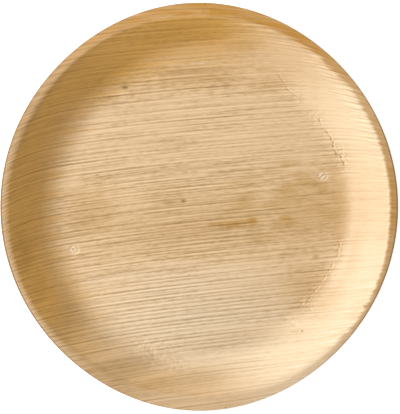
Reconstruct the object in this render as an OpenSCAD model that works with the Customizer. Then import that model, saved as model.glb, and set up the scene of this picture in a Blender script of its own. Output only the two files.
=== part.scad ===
// Round dinner plate pressed hot from one palm leaf sheath. The leaf is one
// even skin from the middle of the floor to the trimmed edge: it runs flat,
// bends up into a straight sloping wall, folds over a crest and ends in a
// narrow lip. Grain along X, floor resting on z = 0, origin under the middle.

/* [Rim] */
// Diameter of the crest where the wall folds over into the lip
crest_d = 238; // [228:1:300]
// Lip beyond the crest where the edge is cut across the grain
lip_along = 4.4; // [3:0.1:12]
// Lip beyond the crest where the edge is cut along the grain
lip_across = 7.6; // [3:0.1:14]
// How far the lip leans down towards its edge, in degrees
lip_droop = 5; // [0:1:20]

/* [Section] */
// Diameter of the flat part of the floor
floor_d = 171; // [120:1:178]
// Height from the table to the top of the crest
plate_h = 23.5; // [16:0.5:34]
// Thickness of the pressed leaf
leaf_t = 2; // [1.2:0.1:3]
// Bend from the floor into the wall, on its inner face
foot_bend_r = 23; // [12:0.5:30]
// Fold over the crest, on its inner face under the leaf
crest_bend_r = 3.2; // [0.5:0.1:4]

/* [Press marks] */
// Outer diameter of each round mark left by a screw of the press
mark_d = 6; // [4:0.5:12]
// Width of the groove round each mark
mark_groove = 1; // [0.6:0.1:1.5]
// Depth of the marks in the leaf
mark_depth = 0.4; // [0.2:0.1:0.8]
// Distance of the right mark from the middle
mark_right_r = 79.8; // [40:0.1:95]
// Direction of the right mark, in degrees from the grain
mark_right_dir = 14; // [-40:1:40]
// Distance of the left mark from the middle
mark_left_r = 83.2; // [40:0.1:95]
// Direction of the left mark, in degrees from the grain
mark_left_dir = 199; // [140:1:220]

/* [Hidden] */
smooth = 120;                 // facets of a preview circle
spare = 4;                    // leaf left outside the cut before it is trimmed
edge_step = 2;                // degrees from point to point of the cut line
crest_r = crest_d / 2;
floor_r = floor_d / 2;
// The wall is the common tangent of the foot bend and the crest bend
bends = foot_bend_r + crest_bend_r + leaf_t;
run = crest_r - floor_r;
rise = plate_h - leaf_t - bends;
wall_angle = atan2(rise, run) + asin(bends / norm([run, rise]));
wall_len = sqrt(run * run + rise * rise - bends * bends);

// A bend of the leaf about the origin. It starts straight below the origin,
// heading along +X, and turns up through an angle.
module bend(inner_r, turn) {
    reach = inner_r + 2 * leaf_t;
    difference() {
        intersection() {
            circle(r = inner_r + leaf_t, $fn = smooth);
            translate([0, -reach]) square([reach, 2 * reach]);
            rotate(turn) translate([-reach, -reach]) square([reach, 2 * reach]);
        }
        circle(r = inner_r, $fn = smooth);
    }
}

// Half section of the leaf, from the middle of the floor to beyond the edge.
// Each stretch is drawn from the end of the one before it.
module section() {
    square([floor_r, leaf_t]);
    translate([floor_r, leaf_t + foot_bend_r]) {
        bend(foot_bend_r, wall_angle);
        rotate(wall_angle) translate([0, -foot_bend_r - leaf_t]) {
            square([wall_len, leaf_t]);
            translate([wall_len, -crest_bend_r]) mirror([0, 1]) {
                bend(crest_bend_r, wall_angle + lip_droop);
                rotate(wall_angle + lip_droop) translate([0, -crest_bend_r - leaf_t])
                    square([max(lip_along, lip_across) + spare, leaf_t]);
            }
        }
    }
}

// Cut line of the edge. The leaf can't stretch along its fibres, so the press
// draws it in there, and the lip is wider where the edge runs with the grain.
module cut_line() {
    polygon([for (a = [0 : edge_step : 360 - edge_step])
        (crest_r + lip_along + (lip_across - lip_along) * pow(sin(a), 6))
            * [cos(a), sin(a)]]);
}

// Shallow groove with a small pit in its middle, sunk in the face of the floor
module mark_cut(dir, r) {
    rotate(dir) translate([r, 0, leaf_t - mark_depth]) {
        difference() {
            cylinder(d = mark_d, h = leaf_t, $fn = smooth);
            translate([0, 0, -leaf_t])
                cylinder(d = mark_d - 2 * mark_groove, h = 3 * leaf_t, $fn = smooth);
        }
        cylinder(d = mark_groove, h = leaf_t, $fn = smooth);
    }
}

module plate() color("burlywood") difference() {
    intersection() {
        rotate_extrude($fn = smooth) section();
        linear_extrude(plate_h + spare) cut_line();
    }
    mark_cut(mark_right_dir, mark_right_r);
    mark_cut(mark_left_dir, mark_left_r);
}

plate();
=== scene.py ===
"""Round dinner plate pressed from one palm leaf sheath, seen from straight above.

The plate is one closed skin. Its rows run along the fibres of the leaf, so the
ridges, the cut edge and the colours of the leaf all follow the same grain.
"""
import math

import bpy
import numpy as np
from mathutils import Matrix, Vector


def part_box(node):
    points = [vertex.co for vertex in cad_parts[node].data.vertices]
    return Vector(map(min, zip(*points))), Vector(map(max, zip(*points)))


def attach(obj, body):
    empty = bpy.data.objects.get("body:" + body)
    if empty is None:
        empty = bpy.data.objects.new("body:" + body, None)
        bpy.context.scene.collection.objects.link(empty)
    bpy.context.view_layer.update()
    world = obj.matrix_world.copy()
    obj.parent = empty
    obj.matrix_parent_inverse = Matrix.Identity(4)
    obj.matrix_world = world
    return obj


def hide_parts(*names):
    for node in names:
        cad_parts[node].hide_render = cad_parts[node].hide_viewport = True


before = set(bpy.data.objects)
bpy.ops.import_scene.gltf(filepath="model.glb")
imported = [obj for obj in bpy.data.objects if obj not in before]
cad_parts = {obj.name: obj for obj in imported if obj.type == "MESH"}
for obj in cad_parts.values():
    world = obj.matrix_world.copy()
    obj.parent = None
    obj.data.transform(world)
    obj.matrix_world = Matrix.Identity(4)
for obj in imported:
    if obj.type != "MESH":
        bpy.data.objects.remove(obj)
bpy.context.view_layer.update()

bl_info = {
    "name": "Palm leaf plate",
    "version": (1, 0, 0),
    "blender": (4, 5, 0),
    "location": "3D View > Sidebar > Palm leaf plate",
    "description": "Builds a plate pressed from one palm leaf sheath and its studio",
    "category": "Object",
}

PHOTO_WIDTH, PHOTO_HEIGHT = 400, 414
PLATE_MIDDLE = (199.2, 206.6)  # in the photograph, in pixels from its top left corner


def srgb(red, green, blue):
    """Linear colour of three display values from 0 to 255."""
    v = np.array([red, green, blue]) / 255.0
    return tuple(np.where(v <= 0.04045, v / 12.92, ((v + 0.055) / 1.055) ** 2.4).tolist())


def length(name, description, default, low=0.0, high=1.0):
    """Property for a length in metres."""
    return bpy.props.FloatProperty(name=name, description=description, default=default,
                                   min=low, max=high, unit="LENGTH", precision=5)


def angle(name, description, degrees):
    """Property for an angle."""
    return bpy.props.FloatProperty(name=name, description=description,
                                   default=math.radians(degrees), subtype="ANGLE")


def colour(name, description, red, green, blue):
    """Property for a colour, given by display values from 0 to 255."""
    return bpy.props.FloatVectorProperty(name=name, description=description, size=3,
                                         subtype="COLOR", min=0.0, max=1.0,
                                         default=srgb(red, green, blue))


def tint(name, description, red, green, blue):
    """Colour that another one is multiplied by, which can also make it lighter."""
    return bpy.props.FloatVectorProperty(name=name, description=description, size=3,
                                         subtype="COLOR", min=0.0, max=2.0,
                                         default=(red, green, blue))


class LeafPlateShape(bpy.types.PropertyGroup):
    """Sizes of the plate's section, outline, ridges and marks."""

    crest_d: length("Crest diameter", "Diameter where the wall folds over into the lip", 0.238)
    lip_along: length("Lip at fibre ends", "Lip where the edge is cut across the grain", 0.0044)
    lip_across: length("Lip beside fibres", "Lip where the edge runs with the grain", 0.0076)
    floor_d: length("Floor diameter", "Diameter of the flat part of the floor", 0.171)
    plate_h: length("Height", "Height from the table to the top of the crest", 0.0235)
    leaf_t: length("Leaf thickness", "Thickness of the pressed leaf", 0.002)
    foot_bend_r: length("Foot bend", "Bend from the floor into the wall", 0.023)
    mark_d: length("Mark diameter", "Outer diameter of the round press marks", 0.006)
    mark_groove: length("Mark groove", "Width of the groove round each mark", 0.001)
    mark_depth: length("Mark depth", "Depth of the press marks", 0.0004)
    ridge_pitch: length("Ridge pitch", "Distance from one fibre ridge to the next", 0.0023)
    ridge_depth: length("Ridge depth", "Depth of the grooves between the fibres", 0.00022)
    crease_depth: length("Crease depth", "Depth of the crushed lines in the leaf", 0.0005)
    crinkle_depth: length("Crinkle depth", "Depth of the crinkled patches", 0.0003)
    row_pitch: length("Row pitch", "Distance between the rows of the mesh", 0.00042)
    columns: bpy.props.IntProperty(name="Columns", description="Faces along each row of the "
                                   "inner face", default=108, min=40, max=120)
    under_columns: bpy.props.IntProperty(name="Columns underneath", description="Faces along "
                                         "each row of the underside", default=40, min=30, max=90)


class LeafPlateColours(bpy.types.PropertyGroup):
    """Colours of the leaf, and of the painted shade and sheen on it."""

    straw: colour("Straw", "Main colour of the inner face", 218, 186, 144)
    # Also the scuffs in the press marks and the painted highlight on the welts beside the creases
    pale: colour("Pale fibre", "Palest fibres", 230, 206, 172)
    # Painted highlight: the proud fibres are made paler, partly their own colour
    proud: tint("Ridge tint", "Tint of the palest fibres over the colour of the leaf",
                1.22, 1.26, 1.34)
    ash: colour("Ashy fibre", "Greyer leaf in the lower half", 222, 200, 169)
    # Painted sheen: the wall facing the softbox is made paler in its colour
    painted_sheen: colour("Bleached wall", "Paler wall on one side", 240, 222, 190)
    # Painted shade: the wall turned away from the softbox is made deeper and darker in its colour
    painted_shade: colour("Honey wall", "Deeper coloured wall on the other side", 211, 157, 60)
    lip: colour("Lip", "Lip where the press has browned it", 188, 135, 54)
    # Painted shade: a greyer, darker colour for the lip where it lies in partial shade
    lip_grey_shade: colour("Greyed lip", "Lip where it is grey and dull", 168, 128, 76)
    # Tint of the darker streaks, and of the grooves, where it is partly painted shade
    line: colour("Line tint", "Tint of the darkest lines over the colour of the leaf",
                 203, 192, 170)
    # Also painted shade on the left and lower walls
    brown: colour("Brown stain", "Diffuse stains along the fibres", 176, 130, 50)
    # Painted shade: duller, darker patches on the lower and left walls and at the feet of the walls
    dull: colour("Dull stain", "Duller and darker patches of the leaf", 164, 132, 84)
    mottle: colour("Mottling", "Small soft blotches on the floor", 170, 130, 46)
    speck: colour("Specks", "Small dark specks", 146, 113, 36)
    under: colour("Underside", "Main colour of the outer face of the leaf", 196, 158, 106)
    # Also the colour of a dark band along the top of the edge
    cut: colour("Cut edge", "Trimmed and scorched edge of the leaf", 156, 120, 73)


class LeafPlateStudio(bpy.types.PropertyGroup):
    """Lamps, floor and camera."""

    key_power: bpy.props.FloatProperty(name="Key power", description="Power of the softbox",
                                       default=25.5, min=0.0, unit="POWER")
    key_size: length("Key size", "Side of the softbox", 0.5, 0.05, 5.0)
    key_distance: length("Key distance", "Softbox to the middle of the plate", 1.6, 0.2, 10.0)
    key_azimuth: angle("Key azimuth", "Direction of the softbox, from +X towards +Y", 165)
    key_elevation: angle("Key elevation", "Height of the softbox over the table", 36)
    fill: bpy.props.FloatProperty(name="Fill", description="Even light of the room",
                                  default=0.56, min=0.0)
    floor_lift: bpy.props.FloatProperty(name="Floor lift", description="Light added to the "
                                        "floor for the camera alone", default=0.66, min=0.0)
    floor_colour: colour("Floor", "Plain pale floor", 244, 244, 244)
    focal_mm: bpy.props.FloatProperty(name="Focal length", description="Of the camera, in mm",
                                      default=250.0, min=10.0)
    pixel: length("Pixel", "Size of one photograph pixel at the rim", 0.00062)


# Places of the two press marks, metres from the middle: radius and direction
MARKS = ((0.0798, math.radians(14)), (0.0832, math.radians(199)))
# Directions of the slots in the marks, and half their length
SLOT_TURNS, SLOT_REACH = (math.radians(40), math.radians(-38)), 0.0013


def mark_centres():
    """X and Y of the middle of each press mark: r cos(a) and r sin(a)."""
    return [(r * math.cos(a), r * math.sin(a)) for r, a in MARKS]


GRAIN_SPAN = 0.3  # metres to one unit of the grain coordinates
GRAIN_REACH = 0.12  # length that the terms of the grain are written in
# Slope of a fibre on the floor: at the middle, with X, with X^2, with the fibre's height
GRAIN_TERMS = (0.099, -0.049, 0.047, -0.028)
# The fibres bend further up each side wall: side, height on the plate less height of the
# fibre there, strength, its growth with the fibre's height, middle and half width
WALL_BENDS = ((-1, -0.013, 0.19, 0.0, 0.027, 0.059), (1, 0.009, -0.115, -0.246, -0.009, 0.093))
BEND_START, BEND_BOW, BEND_RUN = 0.085, 0.154, 0.023  # where the bends begin, and their run


def grain_rise(x, t):
    """Rise of a fibre from x = 0 to x. Its slope is a polynomial in X = x / reach and
    T = t / reach, and past a bowed line near each side wall it grows with the 1.5th
    power of the distance. The rise is the integral of both over x."""
    c = GRAIN_TERMS
    X, T = x / GRAIN_REACH, t / GRAIN_REACH
    rise = GRAIN_REACH * (c[0] * X + c[1] * X**2 / 2 + c[2] * X**3 / 3 + c[3] * T * X)
    for side, shift, strength, growth, middle, width in WALL_BENDS:
        begin = BEND_START - (t + shift)**2 / BEND_BOW
        past = np.maximum(side * x - begin, 0) / BEND_RUN
        slope = (strength + growth * T) * np.exp(-((t - middle) / width)**2)
        rise = rise + side * slope * BEND_RUN * past**2.5 / 2.5
    return rise


def fibre_at(x, y):
    """Height t at x = 0 of the fibre through (x, y), by repeated substitution."""
    t = np.array(y, dtype=float)
    for _ in range(30):
        t = y - grain_rise(x, t)
    return t


def smooth(v):
    """Runs from 0 to 1 with level ends."""
    v = np.clip(v, 0.0, 1.0)
    return v * v * (3 - 2 * v)


def value_noise(u, v, seed):
    """Smooth noise from 0 to 1: a lattice of fixed random numbers, blended between
    its four nearest points. Whole numbers added to u and v pick another part of it."""
    table = np.random.default_rng(seed).random((256, 1024))
    iu, iv = np.floor(u).astype(int), np.floor(v).astype(int)
    fu, fv = smooth(u - iu), smooth(v - iv)
    a, b = table[iu % 256, iv % 1024], table[(iu + 1) % 256, iv % 1024]
    c, d = table[iu % 256, (iv + 1) % 1024], table[(iu + 1) % 256, (iv + 1) % 1024]
    return (a * (1 - fu) + b * fu) * (1 - fv) + (c * (1 - fu) + d * fu) * fv


# Fold of the rim every 30 degrees from +X: crest radius beyond the plate's own and outer
# radius of the fold in mm, lean of the lip towards its edge in degrees, how brown the lip
# is, and how grey it is painted, which is painted shade on the lip
FOLDS = ((0.2, 3.2, 11, 0.95, 0.0), (0.3, 4.2, 6, 0.80, 0.0), (0.6, 3.4, 7, 1.08, 0.0),
         (0.0, 2.6, 5, 1.0, 0.0), (0.8, 2.4, 4, 0.82, 0.20), (1.0, 4.6, 3, 0.10, 0.80),
         (3.6, 8.0, 1, 0.0, 0.36), (3.2, 5.5, 2, 0.0, 0.45), (1.5, 5.0, 3, 0.0, 0.80),
         (-0.1, 3.0, 4, 0.05, 0.22), (2.2, 4.2, 2, 0.12, 0.26), (2.2, 4.1, 12, 0.70, 0.0))
# Painted light on the wall every 30 degrees from +X, low and high on it: from -1, painted shade
# that deepens the wall turned away from the softbox, to 1, a painted sheen that pales the wall facing it
WALL_LIGHT_TONES = ((0.08, 0.20), (0.44, 0.56), (0.10, -0.10), (-0.68, -1.08), (-1.0, -1.22),
              (-0.75, -1.0), (-0.88, -1.12), (-0.66, -1.08), (-0.14, -0.40), (-0.02, -0.20),
              (0.56, 0.68), (0.12, 0.45))


def ring_table(table, a):
    """Columns of a table of twelve directions at direction a: its two nearest entries,
    blended with level ends."""
    k = np.mod(a / (2 * math.pi), 1.0) * len(table)
    i = np.floor(k).astype(int)
    share = smooth(k - i)[..., None]
    blend = table[i % len(table)] * (1 - share) + table[(i + 1) % len(table)] * share
    return np.moveaxis(blend, -1, 0)


def fold_at(a):
    """Crest offset, fold radius and lean of the lip in direction a, in metres and
    radians, and its browning and its greying, which is painted shade."""
    return ring_table(np.array(FOLDS) * (0.001, 0.001, math.radians(1), 1.0, 1.0), a)


def leaf_height(shape, x, y, upper):
    """Height of one face of the leaf over the radius r: flat floor, the foot, which is its
    centre's height less the root of R^2 - (r - floor)^2, the straight wall that touches
    both arcs, the fold, which is its centre's height plus the root of R^2 - (r - crest)^2,
    and the straight lip. The two faces share the centres of their arcs, and the fold
    changes with the direction round the plate."""
    r, a = np.hypot(x, y), np.arctan2(y, x)
    offset, fold_r, lean, _, _ = fold_at(a)
    crest_r, floor_r = shape.crest_d / 2 + offset, shape.floor_d / 2
    bends = shape.foot_bend_r + fold_r
    run, rise = crest_r - floor_r, shape.plate_h - shape.leaf_t - bends
    wall = np.arctan2(rise, run) + np.arcsin(bends / np.hypot(run, rise))
    foot_z, fold_z = shape.leaf_t + shape.foot_bend_r, shape.plate_h - fold_r
    foot_r, floor_z = shape.foot_bend_r, shape.leaf_t
    if not upper:
        foot_r, fold_r, floor_z = foot_r + shape.leaf_t, fold_r - shape.leaf_t, 0.0
    r1, r2 = floor_r + foot_r * np.sin(wall), crest_r - fold_r * np.sin(wall)
    r3 = crest_r + fold_r * np.sin(lean)
    foot = foot_z - np.sqrt(np.maximum(foot_r**2 - (r - floor_r)**2, 0))
    slope = foot_z - foot_r * np.cos(wall) + (r - r1) * np.tan(wall)
    fold = fold_z + np.sqrt(np.maximum(fold_r**2 - (r - crest_r)**2, 0))
    lip = fold_z + fold_r * np.cos(lean) - (r - r3) * np.tan(lean)
    return np.select([r < floor_r, r < r1, r < r2, r < r3],
                     [floor_z + 0 * r, foot, slope, fold], lip)


def outline(shape, a):
    """Radius of the cut edge in direction a: the crest plus the lip, which grows with
    the 6th power of sin(a) from the fibre ends to where the edge runs with the grain."""
    return (shape.crest_d / 2 + shape.lip_along
            + (shape.lip_across - shape.lip_along) * np.sin(a)**6)


def row_heights(shape, low, high):
    """Fibre heights of the rows from the lowest to the highest point of the edge, as
    middle less half cos(phi): even steps, and finer where the edge turns along the
    grain, so that it stays round."""
    samples = 4001
    phi = np.linspace(0.0, math.pi, samples)
    half = (high - low) / 2
    step = math.radians(1.0)
    rate = np.maximum(half * np.sin(phi) / shape.row_pitch, 1 / step)
    count = np.concatenate([[0], np.cumsum((rate[1:] + rate[:-1]) / 2 * np.diff(phi))])
    rows = int(round(count[-1]))
    at = np.interp(np.linspace(0, count[-1], rows + 1)[1:-1], count, phi)
    return (low + high) / 2 - half * np.cos(at)


# Points along a row to a metre of it, to a radian of its turning, and to a metre more over
# a crease, a crinkle and a press mark
EVEN_RATE, TURN_RATE = 150.0, 22.0
CREASE_RATE, CRINKLE_RATE, MARK_RATE = 2800.0, 1100.0, 2300.0


def column_places(shape, t, left, right, columns, upper):
    """X of each point of each row. Points are shared out evenly by a count that grows
    with the length of the row, with the turning of the surface, and faster over the
    creases and the marks of the inner face."""
    samples = 800
    x = left[:, None] + (right - left)[:, None] * np.linspace(0, 1, samples)[None, :]
    y = t[:, None] + grain_rise(x, t[:, None])
    step = np.maximum(np.gradient(x, axis=1), 1e-9)
    tilt = np.arctan(np.gradient(leaf_height(shape, x, y, upper), axis=1) / step)
    rate = EVEN_RATE + TURN_RATE * np.abs(np.gradient(tilt, axis=1)) / step
    if upper:
        rate += CREASE_RATE * np.exp(-(crease_distance(x, y) / 0.0013)**2)
        rate += CRINKLE_RATE * crinkle_mask(x, y)
        for mx, my in mark_centres():
            rate += MARK_RATE * np.exp(-((x - mx) / 0.0042)**2 - ((y - my) / 0.009)**2)
    count = np.cumsum(rate * step, axis=1)
    count = (count - count[:, :1]) / (count[:, -1:] - count[:, :1])
    rows = np.arange(len(t))[:, None]
    want = np.linspace(0, 1, columns + 1)[None, :] * (1 - 1e-9) + rows * 2.0
    flat = np.interp(want.ravel(), (count + rows * 2.0).ravel(), x.ravel())
    places = flat.reshape(len(t), columns + 1)
    places[:, 0], places[:, -1] = left, right
    return places


def fibre_lines(x, t, pitch, width, fade, seed, level=0.0):
    """Strength up to 1 of one set of narrow lines along the fibres: one to each pitch,
    off its even place by a share of its own, fading in and out along the leaf. Each line
    has a low shoulder on both sides, below 0. A higher level keeps them from fading."""
    shares = np.random.default_rng(seed).random(1024)
    depth = np.zeros_like(x)
    near = np.floor(t / pitch).astype(int)
    for step in (-1, 0, 1):
        k = near + step
        place = (k + 0.5 + 0.32 * (shares[k % 1024] - 0.5)) * pitch
        strength = smooth(1.3 * value_noise(x / fade + 60, k + 400.0, seed + 1) + level)
        off = (t - place) / width
        depth += strength * (np.exp(-off**2) - 0.3 * np.exp(-(off / 2)**2)) / 0.7
    return depth


def low_floor(x, y):
    """Oval low on the floor where the fibres lie most evenly, from 1 in its middle to 0."""
    return smooth(1.6 - np.hypot((x + 0.008) / 0.075, (y + 0.068) / 0.030))


def grain_strength(x, y):
    """How plain the grain is in each place: full on the left of the floor, weaker on its
    right and on the left wall, and weakest on the right wall."""
    climb = smooth((np.hypot(x, y) - 0.084) / 0.014)
    wall = 0.42 + 0.08 * np.cos(np.arctan2(y, x) - math.radians(345))
    return (1 - 0.22 * smooth((x - 0.010) / 0.060)) * (1 - climb * wall)


def groove_presence(x, y, t):
    """How strong the grooves are in each part of the leaf: strongest low on the floor,
    weaker towards the right wall, plainer again round the creases, and uneven everywhere."""
    right = smooth((x - 0.010) / 0.080)
    uneven = 0.85 + 0.3 * value_noise(x / 0.045 + 60, t / 0.006 + 60, 31)
    worked = 0.8 * np.exp(-(crease_distance(x, y) / 0.009)**2)
    return (0.82 + 0.16 * low_floor(x, y) - 0.38 * right + worked) * uneven * grain_strength(x, y)


def fibre_grooves(shape, x, y, t):
    """Depth of the grooves between the fibres, up to 1, and below 0 where a fibre stands
    proud: lines at the pitch of the ridges, finer ones, and sparse wide ones."""
    pitch = shape.ridge_pitch
    low = low_floor(x, y)
    high = smooth((y - 0.030) / 0.030)
    main = fibre_lines(x, t, pitch * 1.06, 0.00044, 0.026, 11, 0.3 * low)
    fine = fibre_lines(x, t, pitch * 0.76, 0.00036, 0.022, 17)
    wide = fibre_lines(x, t, pitch * 1.65, 0.00050, 0.042, 29, -0.1)
    proud = fibre_lines(x, t + pitch * 0.53, pitch * 1.06, 0.00042, 0.026, 41, 0.2 * low)
    depth = ((0.57 + 0.10 * low) * main + (0.98 - 0.68 * low - 0.34 * high) * fine
             + (0.90 - 0.45 * low) * wide - 0.50 * proud)
    return np.clip(depth * groove_presence(x, y, t), -0.7, 1)


# Lines of crushed leaf along the foot of the right wall, as x, y of their corners in mm
CREASES = (((75.5, 54.3), (76.8, 48.7), (80.5, 46.3), (83.6, 40.7), (85.4, 33.2),
            (88.3, 32.0), (91.4, 25.2)),
           ((49.5, 82.8), (55.7, 73.5), (62.3, 68.0)),
           ((87.9, -21.3), (87.0, -29.4), (82.3, -38.1), (78.0, -44.9), (71.2, -54.2),
            (65.6, -63.5)))
# How far each of them is broken up into short ticks, and how strong it is
CREASE_LOOKS = ((0.6, 1.1), (0.4, 0.55), (1.0, 0.62))
# Patches where the leaf crinkled instead: x, y, half length and half width in mm, strength
CRINKLES = ((62.5, 67.5, 5.0, 5.0, 0.6), (71.2, 57.4, 8.0, 6.5, 0.8), (89.0, 29.0, 6.0, 10.0, 0.9),
            (87.5, -25.0, 4.0, 8.0, 0.8), (79.2, -43.6, 5.0, 5.5, 0.8), (72.0, -52.5, 6.0, 6.0, 0.9),
            (66.5, -62.0, 7.0, 6.0, 0.9), (57.5, -72.2, 7.0, 5.0, 0.8), (-36.0, -86.0, 11.0, 9.0, 0.7),
            (-26.0, -92.0, 14.0, 10.0, 0.8), (-15.0, -98.0, 12.0, 7.0, 0.7), (4.0, 121.0, 9.0, 3.0, 0.3))


def crease_lines(x, y):
    """For each stretch of each crease, the share of its length that each point lies at,
    the distance from it, which jumps from fibre to fibre as the leaf gave way, how far
    it is broken up and how strong it is."""
    jump = 0.0013 * (value_noise(x * 0 + 3, y / 0.0013 + 300, 47) - 0.5)
    for corners, (ticks, strength) in zip(CREASES, CREASE_LOOKS):
        for (x0, y0), (x1, y1) in zip(corners[:-1], corners[1:]):
            run = math.hypot(x1 - x0, y1 - y0)
            ux, uy = (x1 - x0) / run, (y1 - y0) / run
            dx, dy = x - x0 / 1000, y - y0 / 1000
            off = dx * uy - dy * ux + jump
            yield (dx * ux + dy * uy) * 1000 / run, off, ticks, strength


def crease_distance(x, y):
    """Distance from the nearest crease, far beyond its ends."""
    nearest = np.full(x.shape, 1.0)
    for along, off, _, _ in crease_lines(x, y):
        beyond = np.maximum(np.abs(along - 0.5) - 0.55, 0.0)
        nearest = np.minimum(nearest, np.abs(off) + 0.02 * beyond)
    return nearest


def crease_depth(x, y):
    """Depth from 0 to 1 of the creases: a narrow valley along each line, with a low
    welt beside it on the side of the wall, both weaker in places."""
    depth = np.zeros_like(x)
    tick = smooth(3.4 * value_noise(x / 0.004 + 60, y / 0.0013 + 300, 59) - 1.4)
    for along, off, ticks, strength in crease_lines(x, y):
        ends = smooth(along / 0.12 + 1.0) * smooth((1 - along) / 0.12 + 1.0)
        ends = ends * (1 - ticks * (1 - tick)) * strength
        valley = ends * np.exp(-(off / 0.00042)**2)
        welt = ends * np.exp(-((off + 0.0010) / 0.0006)**2)
        line = valley - 0.6 * welt * (1 - valley)
        depth = np.where(np.abs(line) > np.abs(depth), line, depth)
    uneven = 0.35 + 0.65 * smooth(1.6 * value_noise(x * 0 + 9, y / 0.0045 + 300, 53) - 0.1)
    return uneven * depth


def crinkle_mask(x, y):
    """How crinkled the leaf is: soft ovals, uneven inside."""
    mask = np.zeros_like(x)
    patchy = 0.6 + 0.6 * value_noise(x / 0.005 + 60, y / 0.004 + 60, 79)
    for cx, cy, along, across, strength in CRINKLES:
        d = np.hypot((x - cx / 1000) / along, (y - cy / 1000) / across) * 1000
        mask = np.maximum(mask, strength * smooth(1.2 - d))
    return mask * patchy


def mark_depth(shape, x, y):
    """Depth from 0 to 1 of the press marks: a round groove and a slot across its middle."""
    depth = np.zeros_like(x)
    ring = (shape.mark_d - shape.mark_groove) / 2
    for (mx, my), turn in zip(mark_centres(), SLOT_TURNS):
        dx, dy = x - mx, y - my
        along = dx * math.cos(turn) + dy * math.sin(turn)
        off = dy * math.cos(turn) - dx * math.sin(turn)
        groove = smooth(1.5 - np.abs(np.hypot(dx, dy) - ring) / shape.mark_groove * 2)
        beyond = np.maximum(np.abs(along) - SLOT_REACH, 0)
        slot = smooth(1.5 - np.hypot(beyond, off) / shape.mark_groove * 2)
        depth = np.maximum(depth, np.maximum(groove, slot))
    return depth * (0.55 + 0.6 * value_noise(x / 0.0012 + 90, y / 0.0012 + 300, 61))


def scuffs_and_welt_highlight(shape, x, y):
    """How pale the leaf is: scuffed inside each press mark, and a painted highlight on the welt beside
    each crease.
    """
    pale = np.zeros_like(x)
    for mx, my in mark_centres():
        d = np.hypot(x - mx, y - my)
        pale = np.maximum(pale, 0.8 * smooth((shape.mark_d / 2 + 0.0010 - d) / 0.0014))
    pale = pale * (1 - 0.8 * mark_depth(shape, x, y))
    return np.maximum(pale, np.maximum(-crease_depth(x, y), 0) * 1.2)


# Arcs of the crest where the fibres fold one by one: middle, reach and strength
COMB_ARCS = ((math.radians(48), math.radians(30), 1.0), (math.radians(-38), math.radians(16), 0.6))
# Radius and half width of the ring that they fold in, and how far they are pushed in or out
COMB_R, COMB_WIDTH, COMB_PUSH = 0.118, 0.004, 0.0030
# Depth of the inner face below the smooth one, in ridge depths, and that of its poles
FACE_SINK, POLE_SINK = 0.4, 0.5
TOP_GAP = 0.00002  # least distance of the crest from the plate's full height
EDGE_GROOVE = 0.4  # groove that the cut edge and the underside are toned by


def fibre_comb(x, y, t):
    """Share from -0.5 to 0.5 by which each fibre folds early or late over the crest,
    plain in the arcs of the comb and faint elsewhere."""
    a = np.arctan2(y, x)
    share = 0.25 + 0 * a
    for middle, reach, strength in COMB_ARCS:
        share = np.maximum(share, strength * np.exp(-((a - middle) / reach)**2))
    return share * (smooth(value_noise(x / 0.05 + 60, t / 0.0010 + 400, 71)) - 0.5)


def crinkle_lumps(x, t):
    """Short wrinkles across the fibres, from 0 to 1, of the crinkled leaf."""
    return value_noise(x / 0.00085 + 90, t / 0.0011 + 400, 83)


def face_grid(shape, t, ends, columns, upper):
    """Points of one face of the leaf on rows along the fibres, from the left cut to the
    right cut, with the depth of the grooves there."""
    left, right = ends
    x = column_places(shape, t, left, right, columns, upper)
    tt = np.broadcast_to(t[:, None], x.shape)
    y = tt + grain_rise(x, tt)
    groove = fibre_grooves(shape, x, y, tt)
    if upper:
        # The fibres fold over the crest one by one, so the crest is a fine comb
        r = np.hypot(x, y)
        near = np.exp(-((r - COMB_R) / COMB_WIDTH)**2)
        push = 1 + COMB_PUSH * fibre_comb(x, y, tt) * near / np.maximum(r, 0.01)
        z = leaf_height(shape, x * push, y * push, True)
        lump = crinkle_lumps(x, tt) * crinkle_mask(x, y)
        z = z - shape.ridge_depth * (FACE_SINK + groove) - shape.crinkle_depth * lump
        z = z - shape.crease_depth * crease_depth(x, y) - shape.mark_depth * mark_depth(shape, x, y)
        z = np.minimum(z, shape.plate_h - TOP_GAP)
    else:
        r = np.hypot(x, y)
        z = leaf_height(shape, x, y, False)
        z = z + (shape.ridge_depth * np.maximum(groove, 0)
                 * smooth((r - shape.floor_d / 2 + 0.004) / 0.004))
    return np.stack([x, y, z], axis=-1), groove


def wall_painted_light(shape, x, y, t):
    """Painted light on the sloping wall, from -1, painted shade that deepens its colour on the
    side turned away from the softbox, to 1, a painted sheen that pales it on the side facing the
    softbox. It begins at the foot, a little earlier or later from fibre to fibre. The painted
    shade ends at the crest, the painted sheen runs on."""
    r, a = np.hypot(x, y), np.arctan2(y, x)
    offset, fold_r, _, _, _ = fold_at(a)
    low, high = ring_table(np.array(WALL_LIGHT_TONES), a)
    share = smooth((r - 0.097) / 0.014)
    tone = low * (1 - share) + high * share
    begin = r - shape.floor_d / 2 + 0.007 * (value_noise(x / 0.03 + 60, t / 0.0017 + 400, 97) - 0.5)
    tone = tone * smooth(np.where(tone < 0, (begin + 0.0035) / 0.0185, begin / 0.020))
    start = shape.crest_d / 2 + offset - 0.7 * fold_r
    return np.where(tone < 0, tone * (1 - smooth((r - start) / (0.6 * fold_r))), tone)


def lip_tones(shape, x, y, t):
    """Browning of the lip, and its greying, which is painted shade, from 0 inside the crest to
    the lip's own share. They begin a little earlier or later from fibre to fibre, and are mottled."""
    r, a = np.hypot(x, y), np.arctan2(y, x)
    offset, _, _, brown, grey = fold_at(a)
    edge = r - shape.crest_d / 2 - offset + 0.0034 * fibre_comb(x, y, t)
    mottle = 0.74 + 0.52 * value_noise(x / 0.010 + 60, t / 0.0011 + 400, 73)
    return brown * mottle * smooth(edge / 0.0020 + 0.9), grey * mottle * smooth(edge / 0.005 + 1.15)


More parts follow.
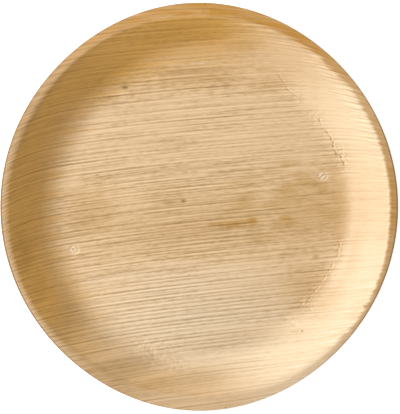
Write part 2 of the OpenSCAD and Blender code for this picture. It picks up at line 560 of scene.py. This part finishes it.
def mottling(x, y):
    """Brown mottling from 0 to 1 of the right side of the floor."""
    where = smooth(1.5 - np.hypot((x - 0.052) / 0.034, (y - 0.002) / 0.028))
    coarse = value_noise(x / 0.0065 + 60, y / 0.0050 + 60, 91)
    fine = value_noise(x / 0.0028 + 60, y / 0.0012 + 60, 92)
    return where * smooth(3.2 * (0.7 * coarse + 0.3 * fine) - 1.3)


def quads(grid):
    """Faces of four corners over a grid of point numbers."""
    return np.stack([grid[:-1, :-1], grid[:-1, 1:], grid[1:, 1:], grid[1:, :-1]],
                    axis=-1).reshape(-1, 4)


def strip(first, second):
    """Faces of four corners between two closed rings of point numbers."""
    return np.stack([first, np.roll(first, -1), np.roll(second, -1), second], axis=-1)


def fan(pole, row):
    """Faces of three corners from one point to a row of point numbers."""
    return np.stack([np.full(len(row) - 1, pole), row[1:], row[:-1]], axis=-1)


def leaf_mesh(shape):
    """One closed skin: the inner face, a strip round the trimmed edge with both of its
    arrises eased, and the underside. Returns the points, the faces of four and of three
    corners with their material numbers, the grain coordinates and the attributes."""
    ease, edge_band, rim_samples = 0.00014, 0.0010, 14401
    a = np.linspace(-math.pi, math.pi, rim_samples)
    r = outline(shape, a) - ease
    t = fibre_at(r * np.cos(a), r * np.sin(a))
    bottom, top = int(np.argmin(t)), int(np.argmax(t))
    rows = row_heights(shape, t[bottom], t[top])
    angle_r = np.interp(rows, t[bottom:top + 1], a[bottom:top + 1])
    left_a = np.concatenate([a[top:], a[1:bottom + 1] + 2 * math.pi])
    left_t = np.concatenate([t[top:], t[1:bottom + 1]])
    angle_l = np.interp(rows, left_t[::-1], left_a[::-1])
    sides = (angle_l, angle_r)
    # The inner face stops short of the cut; the strip between takes the cut edge's darker colour, a dark
    # band along the top of the edge
    ends = [(outline(shape, side) - edge_band) * np.cos(side) for side in sides]
    upper, groove = face_grid(shape, rows, ends, shape.columns, True)
    ends = [(outline(shape, side) - ease) * np.cos(side) for side in sides]
    lower, _ = face_grid(shape, rows, ends, shape.under_columns, False)

    # Directions of the edge points: up the right side, over the pole, down the left
    ring_a = np.concatenate([[a[bottom]], angle_r, [a[top]], angle_l[::-1]])
    cut_r = outline(shape, ring_a)
    cx, cy = cut_r * np.cos(ring_a), cut_r * np.sin(ring_a)
    z_up = leaf_height(shape, cx, cy, True)
    z_down = leaf_height(shape, cx, cy, False)
    n = len(rows)
    poles = [0, n + 1]
    pole_x, pole_y = np.cos(ring_a[poles]), np.sin(ring_a[poles])
    px, py = (cut_r[poles] - edge_band) * pole_x, (cut_r[poles] - edge_band) * pole_y
    z = leaf_height(shape, px, py, True) - shape.ridge_depth * POLE_SINK
    pole_up = np.stack([px, py, z], axis=-1)
    px, py = (cut_r[poles] - ease) * pole_x, (cut_r[poles] - ease) * pole_y
    pole_down = np.stack([px, py, leaf_height(shape, px, py, False)], axis=-1)
    bx, by = (cut_r - ease) * np.cos(ring_a), (cut_r - ease) * np.sin(ring_a)
    z = leaf_height(shape, bx, by, True) - shape.ridge_depth * FACE_SINK
    ring_band = np.stack([bx, by, z], axis=-1)
    ring_up = np.stack([cx, cy, z_up - ease], axis=-1)
    ring_down = np.stack([cx, cy, z_down + ease], axis=-1)

    points = np.concatenate([upper.reshape(-1, 3), pole_up, lower.reshape(-1, 3),
                             pole_down, ring_up, ring_down, ring_band])
    cu, cl = shape.columns + 1, shape.under_columns + 1
    u0 = np.arange(n * cu).reshape(n, cu)
    up_pole = n * cu + np.array([0, 1])
    l0 = n * cu + 2 + np.arange(n * cl).reshape(n, cl)
    low_pole = n * cu + 2 + n * cl + np.array([0, 1])
    e0 = n * cu + n * cl + 4
    m = len(ring_a)
    e_up, e_down, e_band = (e0 + i * m + np.arange(m) for i in range(3))
    rim_up = np.concatenate([[up_pole[0]], u0[:, -1], [up_pole[1]], u0[::-1, 0]])
    rim_low = np.concatenate([[low_pole[0]], l0[:, -1], [low_pole[1]], l0[::-1, 0]])
    quad_sets = [(quads(u0), 0), (quads(l0)[:, ::-1], 1),
                 (strip(rim_up, e_band)[:, ::-1], 2), (strip(e_band, e_up)[:, ::-1], 2),
                 (strip(e_up, e_down)[:, ::-1], 2), (strip(e_down, rim_low)[:, ::-1], 2)]
    fan_sets = [(fan(up_pole[0], u0[0]), 0), (fan(up_pole[1], u0[-1])[:, ::-1], 0),
                (fan(low_pole[0], l0[0])[:, ::-1], 1), (fan(low_pole[1], l0[-1]), 1)]
    px, py = points[:, 0], points[:, 1]
    pt = fibre_at(px, py)
    uv = np.stack([px, pt], axis=-1) / GRAIN_SPAN + 0.5
    # Depth of the grooves, which darkens the colour there: partly the fibres' own colour, partly painted
    # shade
    grooves = np.full(len(points), EDGE_GROOVE)
    grooves[:n * cu] = groove.ravel()
    # Painted shade in the creases, the crinkles' hollows and the press marks, and painted highlight on
    # the crinkles' lumps
    grooves = grooves + 1.2 * np.maximum(crease_depth(px, py), 0)
    grooves = grooves + 1.3 * (crinkle_lumps(px, pt) - 0.45) * crinkle_mask(px, py)
    grooves = grooves + 0.3 * mark_depth(shape, px, py)
    brown, grey = lip_tones(shape, px, py, pt)
    values = {"groove": grooves, "grain_strength": grain_strength(px, py),
              "wall_painted_light": wall_painted_light(shape, px, py, pt), "scuff_and_highlight": scuffs_and_welt_highlight(shape, px, py),
              "lip_brown": brown, "lip_grey_shade": grey, "mottle": mottling(px, py)}
    return points, quad_sets, fan_sets, uv, values


def add_mesh(name, points, quad_sets, fan_sets):
    """A mesh from arrays of corner numbers, four or three to a face, and the number of
    each set's material."""
    corners = np.concatenate([f.ravel() for f, _ in quad_sets + fan_sets])
    sizes = np.concatenate([np.full(len(f), f.shape[1]) for f, _ in quad_sets + fan_sets])
    kinds = np.concatenate([np.full(len(f), k) for f, k in quad_sets + fan_sets])
    mesh = bpy.data.meshes.new(name)
    mesh.vertices.add(len(points))
    mesh.vertices.foreach_set("co", points.astype(np.float32).ravel())
    mesh.loops.add(len(corners))
    mesh.loops.foreach_set("vertex_index", corners.astype(np.int32))
    mesh.polygons.add(len(sizes))
    starts = np.concatenate([[0], np.cumsum(sizes)[:-1]])
    mesh.polygons.foreach_set("loop_start", starts.astype(np.int32))
    mesh.polygons.foreach_set("material_index", kinds.astype(np.int32))
    mesh.polygons.foreach_set("use_smooth", np.ones(len(sizes), dtype=bool))
    mesh.update(calc_edges=True)
    mesh.validate()
    obj = bpy.data.objects.new(name, mesh)
    bpy.context.scene.collection.objects.link(obj)
    return obj, corners


class Nodes:
    """Adds nodes to one tree and joins them."""

    def __init__(self, tree):
        self.tree = tree
        self.count = 0

    def add(self, kind, props=None, **inputs):
        node = self.tree.nodes.new(kind)
        node.location = (180 * (self.count % 12), -260 * (self.count // 12))
        self.count += 1
        for key, value in (props or {}).items():
            setattr(node, key, value)
        for key, value in inputs.items():
            self.feed(node.inputs[int(key[1:]) if key[1:].isdigit() else key.replace("_", " ")],
                      value)
        return node

    def feed(self, socket, value):
        if isinstance(value, bpy.types.NodeSocket):
            self.tree.links.new(value, socket)
        elif isinstance(value, bpy.types.Node):
            self.tree.links.new(value.outputs[0], socket)
        else:
            socket.default_value = value

    def math(self, operation, *values, clamp=False):
        node = self.add("ShaderNodeMath", {"operation": operation, "use_clamp": clamp})
        for i, value in enumerate(values):
            self.feed(node.inputs[i], value)
        return node.outputs[0]

    def vector(self, operation, *values):
        node = self.add("ShaderNodeVectorMath", {"operation": operation})
        for i, value in enumerate(values):
            self.feed(node.inputs[i], value)
        return node.outputs[0]

    def mix(self, factor, first, second, blend="MIX"):
        node = self.add("ShaderNodeMix", {"data_type": "RGBA", "clamp_factor": True,
                                          "blend_type": blend})
        self.feed(node.inputs[0], factor)
        self.feed(node.inputs[6], first)
        self.feed(node.inputs[7], second)
        return node.outputs[2]

    def scale(self, value, low, high, new_low=0.0, new_high=1.0):
        node = self.add("ShaderNodeMapRange", {"clamp": True}, _0=value, _1=low, _2=high,
                        _3=new_low, _4=new_high)
        return node.outputs[0]

    def noise(self, vector, detail):
        return self.add("ShaderNodeTexNoise", {"noise_dimensions": "2D"}, Vector=vector,
                        Scale=1.0, Detail=detail, Roughness=0.5).outputs["Fac"]

    def attribute(self, name):
        return self.add("ShaderNodeAttribute", {"attribute_name": name}).outputs["Fac"]


def new_group(name, inputs, outputs):
    """A node group with these sockets, its nodes, and where its inputs and outputs lie."""
    group = bpy.data.node_groups.new(name, "ShaderNodeTree")
    for label, kind, default in inputs:
        socket = group.interface.new_socket(label, in_out="INPUT", socket_type=kind)
        if default is not None:
            socket.default_value = default
    for label, kind in outputs:
        group.interface.new_socket(label, in_out="OUTPUT", socket_type=kind)
    nodes = Nodes(group)
    start = group.nodes.new("NodeGroupInput")
    end = group.nodes.new("NodeGroupOutput")
    return group, nodes, start.outputs, end.inputs


FLOAT, VECTOR = "NodeSocketFloat", "NodeSocketVector"


def stretched(nodes, vector, along, across):
    """Grain coordinates stretched so that noise of scale 1 has these many cells a metre."""
    return nodes.vector("MULTIPLY", vector, (along * GRAIN_SPAN, across * GRAIN_SPAN, 0.0))


def leaf_fibres_group():
    """Streaks of the leaf in grain coordinates: a broad and a fine layer for the
    colour, and a height for the finest relief between the modelled ridges."""
    group, n, start, end = new_group(
        "leaf_fibres", [("Grain", VECTOR, None), ("Contrast", FLOAT, 1.0)],
        [("Streak", FLOAT), ("Broad", FLOAT), ("Height", FLOAT)])
    grain = start["Grain"]
    broad = n.noise(stretched(n, grain, 10, 110), 2.0)
    fine = n.noise(stretched(n, grain, 26, 620), 1.0)
    hair = n.noise(stretched(n, grain, 200, 800), 1.0)
    mixed = n.math("ADD", n.math("MULTIPLY", fine, 0.43),
                   n.math("ADD", n.math("MULTIPLY", broad, 0.17), n.math("MULTIPLY", hair, 0.40)))
    centred = n.math("SUBTRACT", mixed, 0.5)
    streak = n.math("ADD", n.math("MULTIPLY", centred, n.math("MULTIPLY", start["Contrast"], 1.8)),
                    0.5, clamp=True)
    n.feed(end["Streak"], streak)
    n.feed(end["Broad"], broad)
    height = n.math("ADD", n.math("MULTIPLY", fine, 0.7), n.math("MULTIPLY", hair, 0.3))
    n.feed(end["Height"], height)
    return group


def leaf_spot_group():
    """Soft oval mask about one place, longer along X, its edge broken up by the
    streaks of the leaf."""
    group, n, start, end = new_group(
        "leaf_spot", [("Position", VECTOR, None), ("Centre", VECTOR, (0, 0, 0)),
                      ("Along", FLOAT, 0.01), ("Across", FLOAT, 0.005),
                      ("Streak", FLOAT, 0.5), ("Break", FLOAT, 0.5), ("Strength", FLOAT, 1.0)],
        [("Mask", FLOAT)])
    delta = n.vector("SUBTRACT", start["Position"], start["Centre"])
    turned = n.add("ShaderNodeVectorRotate", {"rotation_type": "Z_AXIS"}, Vector=delta,
                   Angle=-GRAIN_TERMS[0])
    parts = n.add("ShaderNodeSeparateXYZ", Vector=turned)
    dx = n.math("DIVIDE", parts.outputs[0], start["Along"])
    dy = n.math("DIVIDE", parts.outputs[1], start["Across"])
    dist = n.math("SQRT", n.math("ADD", n.math("MULTIPLY", dx, dx), n.math("MULTIPLY", dy, dy)))
    rough = n.math("MULTIPLY", n.math("SUBTRACT", start["Streak"], 0.5), start["Break"])
    reach = n.math("ADD", dist, rough)
    mask = n.add("ShaderNodeMapRange", {"interpolation_type": "SMOOTHERSTEP", "clamp": True},
                 _0=reach, _1=1.0, _2=0.0, _3=0.0, _4=1.0).outputs[0]
    n.feed(end["Mask"], n.math("MULTIPLY", mask, start["Strength"]))
    return group


# Places of the inner face: x, y, half length, half width in mm, broken edge, strength
ASHY = ((-5, -78, 130, 56, 0.6, 0.66), (-10, -52, 85, 28, 0.6, 0.52))
BROWN_STAINS_AND_SHADE = ((22, -10.4, 23, 5.0, 0.5, 0.80), (33, -9.0, 8.5, 5.0, 0.4, 0.92),
                (12, -10.6, 16, 3.2, 0.5, 0.78), (17, -13.5, 11, 2.4, 0.6, 0.60),
                (35, -21, 5, 2.2, 0.6, 0.45), (16, -9, 38, 8.0, 1.0, 0.48),
                (54, -7, 9, 4.0, 0.5, 0.80), (56, 26, 12, 2.8, 0.8, 0.60),
                (56, 14, 10, 5.0, 0.9, 0.55), (5, -9, 140, 42, 0.6, 0.34),
                (66, -4, 56, 42, 0.8, 0.46), (89, -3, 17, 56, 0.4, 0.47),
                (73, -31, 4.4, 3.4, 0.5, 0.6), (68, -52, 32, 30, 0.5, 0.37),
                (44, 78, 26, 13, 0.8, 0.36), (-5, 82, 85, 18, 0.9, 0.42),
                (10, 80, 14, 5, 0.9, 0.5), (41, 86, 16, 5, 0.9, 0.4),
                (-56, 68.6, 9, 2.0, 0.8, 0.5), (-8, 110, 60, 15, 1.0, 0.42),
                # The patches at (-28, -110), (-100, -50) and (-109, -28) darken the lower and left walls
                # turned away from the softbox: painted shade. The rest are stains of the leaf.
                (28, 100, 24, 9, 0.7, 0.28), (-28, -110, 24, 7, 0.7, 0.34),
                (-100, -50, 9, 18, 0.5, 0.26), (-109, -28, 10, 26, 0.5, 0.50),
                (-66, -4, 34, 34, 0.6, 0.42))
# Painted shade on the lower and left walls and at the feet of the walls, and one faint patch on the
# floor
DULL_SHADE_PATCHES = ((-44, -101, 32, 13, 0.6, 0.46), (-6, -108, 40, 10, 0.6, 0.32),
               (-83, -70, 20, 28, 0.5, 0.38), (22, -82, 70, 12, 0.5, 0.26),
               (-80, -14, 20, 40, 0.5, 0.14), (30, -60, 60, 30, 0.6, 0.14))
SPECKS = ((-46.5, 74.8, 3.4, 2.0, 0.3, 0.95), (-10.0, 3.5, 3.3, 2.3, 0.3, 0.95),
          (-19.0, 2.5, 11.0, 2.0, 0.3, 0.65), (64.4, -77.8, 1.5, 0.9, 0.3, 0.9),
          (60.0, -78.3, 5.0, 0.7, 0.3, 0.4), (102.8, -61.6, 2.3, 0.9, 0.4, 0.7),
          (-64.0, 20.0, 2.0, 1.0, 0.4, 0.4))


def spots(nodes, group, position, streak, places):
    """The strongest of the masks of several spots at each point."""
    total = None
    for x, y, along, across, broken, strength in places:
        spot = nodes.add("ShaderNodeGroup", {"node_tree": group})
        for label, value in (("Position", position), ("Streak", streak),
                             ("Centre", (x / 1000, y / 1000, 0)), ("Along", along / 1000),
                             ("Across", across / 1000), ("Break", broken),
                             ("Strength", strength)):
            nodes.feed(spot.inputs[label], value)
        mask = spot.outputs[0]
        total = mask if total is None else nodes.math("MAXIMUM", total, mask)
    return total


def leaf_material(name, look, base, contrast, groups, stains_and_painted_light, groove_shade_amount, roughness):
    """Dry pressed leaf: streaks of pale and tan fibre over the base colour, darker in the
    grooves, partly the fibres' own colour and partly painted shade, and paler on the proud fibres,
    a painted highlight. The stained face has stains and specks where the leaf has them, and
    painted shade and painted sheen on its walls, its lip and the feet of its walls."""
    material = bpy.data.materials.new(name)
    material.use_nodes = True
    material.node_tree.nodes.clear()
    n = Nodes(material.node_tree)
    coords = n.add("ShaderNodeTexCoord")
    flat = n.vector("MULTIPLY", coords.outputs["Object"], (1.0, 1.0, 0.0))
    grain = n.add("ShaderNodeUVMap", {"uv_map": "grain"}).outputs[0]
    fibres = n.add("ShaderNodeGroup", {"node_tree": groups["fibres"]})
    n.feed(fibres.inputs["Grain"], grain)
    n.feed(fibres.inputs["Contrast"], n.math("MULTIPLY", n.attribute("grain_strength"), contrast))
    streak, broad = fibres.outputs["Streak"], fibres.outputs["Broad"]
    paler, darker = n.scale(streak, 0.5, 1.0), n.scale(streak, 0.5, 0.0)
    groove = n.attribute("groove")
    tone = (*base, 1.0)
    if stains_and_painted_light:
        side = n.attribute("wall_painted_light")
        stains = ((spots(n, groups["spot"], flat, broad, ASHY), look.ash),
                  # Painted sheen on the wall facing the softbox, painted shade on the wall turned away
                  # from it
                  (n.scale(side, 0.0, 1.0, 0.0, 0.85), look.painted_sheen),
                  (n.scale(side, 0.0, -1.0, 0.0, 0.85), look.painted_shade),
                  (n.math("MULTIPLY", n.attribute("lip_brown"), 0.85), look.lip),
                  # Painted shade that greys the lip
                  (n.math("MULTIPLY", n.attribute("lip_grey_shade"), 0.85), look.lip_grey_shade),
                  (spots(n, groups["spot"], flat, streak, BROWN_STAINS_AND_SHADE), look.brown),
                  (spots(n, groups["spot"], flat, broad, DULL_SHADE_PATCHES), look.dull),
                  (n.math("MULTIPLY", n.attribute("mottle"), 0.5), look.mottle),
                  (spots(n, groups["spot"], flat, broad, SPECKS), look.speck))
        for mask, stain in stains:
            tone = n.mix(mask, tone, (*stain, 1.0))
    tone = n.mix(n.math("MULTIPLY", darker, 0.75), tone, (*look.line, 1.0), "MULTIPLY")
    # Darker in the grooves, partly painted shade, and paler on the proud fibres, a painted highlight
    tone = n.mix(n.scale(groove, 0.0, 1.0, 0.0, groove_shade_amount), tone, (*look.line, 1.0),
                 "MULTIPLY")
    proud = n.math("MAXIMUM", n.math("MULTIPLY", paler, 0.55),
                   n.scale(groove, 0.0, -0.6, 0.0, groove_shade_amount))
    tone = n.mix(proud, tone, (*look.proud, 1.0), "MULTIPLY")
    if stains_and_painted_light:
        # Scuffs in the press marks, and painted highlight on the welts beside the creases
        scuff_and_highlight = n.math("MULTIPLY", n.attribute("scuff_and_highlight"), 0.8)
        tone = n.mix(scuff_and_highlight, tone, (*look.pale, 1.0))
    rough = n.scale(streak, 0.0, 1.0, roughness + 0.08, roughness - 0.05)
    bump = n.add("ShaderNodeBump", Strength=0.5, Distance=0.00012,
                 Height=fibres.outputs["Height"])
    shader = n.add("ShaderNodeBsdfPrincipled", Base_Color=tone, Roughness=rough, Normal=bump)
    end = n.add("ShaderNodeOutputMaterial")
    n.tree.links.new(shader.outputs[0], end.inputs[0])
    return material


class LEAFPLATE_OT_plate(bpy.types.Operator):
    """Build the pressed leaf: one closed skin with its ridges, creases and marks"""

    bl_idname = "leafplate.plate"
    bl_label = "Pressed leaf plate"

    def execute(self, context):
        shape, look = context.scene.leaf_plate_shape, context.scene.leaf_plate_colours
        points, quad_sets, fan_sets, uv, values = leaf_mesh(shape)
        obj, corners = add_mesh("palm_leaf_plate", points, quad_sets, fan_sets)
        mesh = obj.data
        if len(mesh.loops) != len(corners):
            raise RuntimeError("the leaf's mesh lost faces")
        layer = mesh.uv_layers.new(name="grain")
        layer.data.foreach_set("uv", uv[corners].astype(np.float32).ravel())
        for name, value in values.items():
            layer = mesh.attributes.new(name, "FLOAT", "POINT")
            layer.data.foreach_set("value", value.astype(np.float32))
        groups = {"fibres": leaf_fibres_group(), "spot": leaf_spot_group()}
        for material in (
                leaf_material("leaf_inner", look, look.straw, 1.0, groups, True, 0.9, 0.46),
                leaf_material("leaf_outer", look, look.under, 1.4, groups, False, 0.8, 0.58),
                leaf_material("leaf_cut", look, look.cut, 1.2, groups, False, 0.3, 0.7)):
            mesh.materials.append(material)
        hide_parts("plate")
        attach(obj, "root")
        return {"FINISHED"}


class LEAFPLATE_OT_studio(bpy.types.Operator):
    """Set out the pale floor, the softbox, the room's light and the camera above"""

    bl_idname = "leafplate.studio"
    bl_label = "Studio"

    def execute(self, context):
        scene, set_up = context.scene, context.scene.leaf_plate_studio
        self.add_floor(scene, set_up)
        self.add_light(scene, set_up)
        self.add_camera(scene, set_up)
        scene.view_settings.view_transform = "Standard"
        return {"FINISHED"}

    def add_floor(self, scene, set_up):
        half = 3.0
        points = np.array([[-half, -half, 0], [half, -half, 0], [half, half, 0],
                           [-half, half, 0]])
        floor, _ = add_mesh("studio_floor", points, [(np.array([[0, 1, 2, 3]]), 0)], [])
        material = bpy.data.materials.new("studio_paper")
        material.use_nodes = True
        material.node_tree.nodes.clear()
        n = Nodes(material.node_tree)
        path = n.add("ShaderNodeLightPath")
        seen = n.math("MAXIMUM", path.outputs["Is Camera Ray"], path.outputs["Is Glossy Ray"])
        seen = n.math("MAXIMUM", seen, path.outputs["Is Transmission Ray"])
        paper = n.add("ShaderNodeBsdfDiffuse", Color=(*set_up.floor_colour, 1.0))
        glow = n.add("ShaderNodeEmission", Strength=n.math("MULTIPLY", seen, set_up.floor_lift))
        both = n.add("ShaderNodeAddShader")
        n.feed(both.inputs[0], paper)
        n.feed(both.inputs[1], glow)
        end = n.add("ShaderNodeOutputMaterial")
        n.feed(end.inputs[0], both)
        floor.data.materials.append(material)

    def add_light(self, scene, set_up):
        lamp = bpy.data.lights.new("softbox", "AREA")
        lamp.shape = "SQUARE"
        lamp.size = set_up.key_size
        lamp.energy = set_up.key_power
        box = bpy.data.objects.new("softbox", lamp)
        flat = math.cos(set_up.key_elevation) * set_up.key_distance
        box.location = (flat * math.cos(set_up.key_azimuth),
                        flat * math.sin(set_up.key_azimuth),
                        set_up.key_distance * math.sin(set_up.key_elevation))
        box.rotation_euler = (-box.location).to_track_quat("-Z", "Y").to_euler()
        scene.collection.objects.link(box)
        world = bpy.data.worlds.new("room")
        scene.world = world
        world.use_nodes = True
        world.node_tree.nodes.clear()
        n = Nodes(world.node_tree)
        path = n.add("ShaderNodeLightPath")
        level = n.scale(path.outputs["Is Camera Ray"], 0.0, 1.0, set_up.fill, 1.0)
        room = n.add("ShaderNodeBackground", Color=(1.0, 1.0, 1.0, 1.0), Strength=level)
        end = n.add("ShaderNodeOutputWorld")
        n.feed(end.inputs[0], room)

    def add_camera(self, scene, set_up):
        data = bpy.data.cameras.new("overhead")
        data.lens = set_up.focal_mm
        data.sensor_width = 36.0
        view_height = PHOTO_HEIGHT * set_up.pixel
        distance = view_height * set_up.focal_mm / data.sensor_width
        camera = bpy.data.objects.new("overhead", data)
        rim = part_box("plate")[1][2]
        # Middle of the photograph's frame, in pixels from the middle of the plate
        off_x = PHOTO_WIDTH / 2 - PLATE_MIDDLE[0]
        off_y = PLATE_MIDDLE[1] - PHOTO_HEIGHT / 2
        camera.location = (off_x * set_up.pixel, off_y * set_up.pixel, rim + distance)
        data.clip_end = 20.0
        scene.collection.objects.link(camera)
        scene.camera = camera


class LEAFPLATE_PT_panel(bpy.types.Panel):
    """Sizes, colours and steps of the palm leaf plate"""

    bl_label = "Palm leaf plate"
    bl_idname = "LEAFPLATE_PT_panel"
    bl_space_type = "VIEW_3D"
    bl_region_type = "UI"
    bl_category = "Palm leaf plate"

    def draw(self, context):
        scene, layout = context.scene, self.layout
        for group in (scene.leaf_plate_shape, scene.leaf_plate_colours,
                      scene.leaf_plate_studio):
            box = layout.box()
            for name in group.__annotations__:
                box.prop(group, name)
        for operator in (LEAFPLATE_OT_plate, LEAFPLATE_OT_studio):
            layout.operator(operator.bl_idname)


CLASSES = (LeafPlateShape, LeafPlateColours, LeafPlateStudio, LEAFPLATE_OT_plate,
           LEAFPLATE_OT_studio, LEAFPLATE_PT_panel)


def register():
    for cls in CLASSES:
        bpy.utils.register_class(cls)
    bpy.types.Scene.leaf_plate_shape = bpy.props.PointerProperty(type=LeafPlateShape)
    bpy.types.Scene.leaf_plate_colours = bpy.props.PointerProperty(type=LeafPlateColours)
    bpy.types.Scene.leaf_plate_studio = bpy.props.PointerProperty(type=LeafPlateStudio)


def unregister():
    del bpy.types.Scene.leaf_plate_studio
    del bpy.types.Scene.leaf_plate_colours
    del bpy.types.Scene.leaf_plate_shape
    for cls in reversed(CLASSES):
        bpy.utils.unregister_class(cls)


def main():
    """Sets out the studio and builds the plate."""
    register()
    bpy.ops.leafplate.studio()
    bpy.ops.leafplate.plate()
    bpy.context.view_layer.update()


if __name__ == "__main__":
    main()
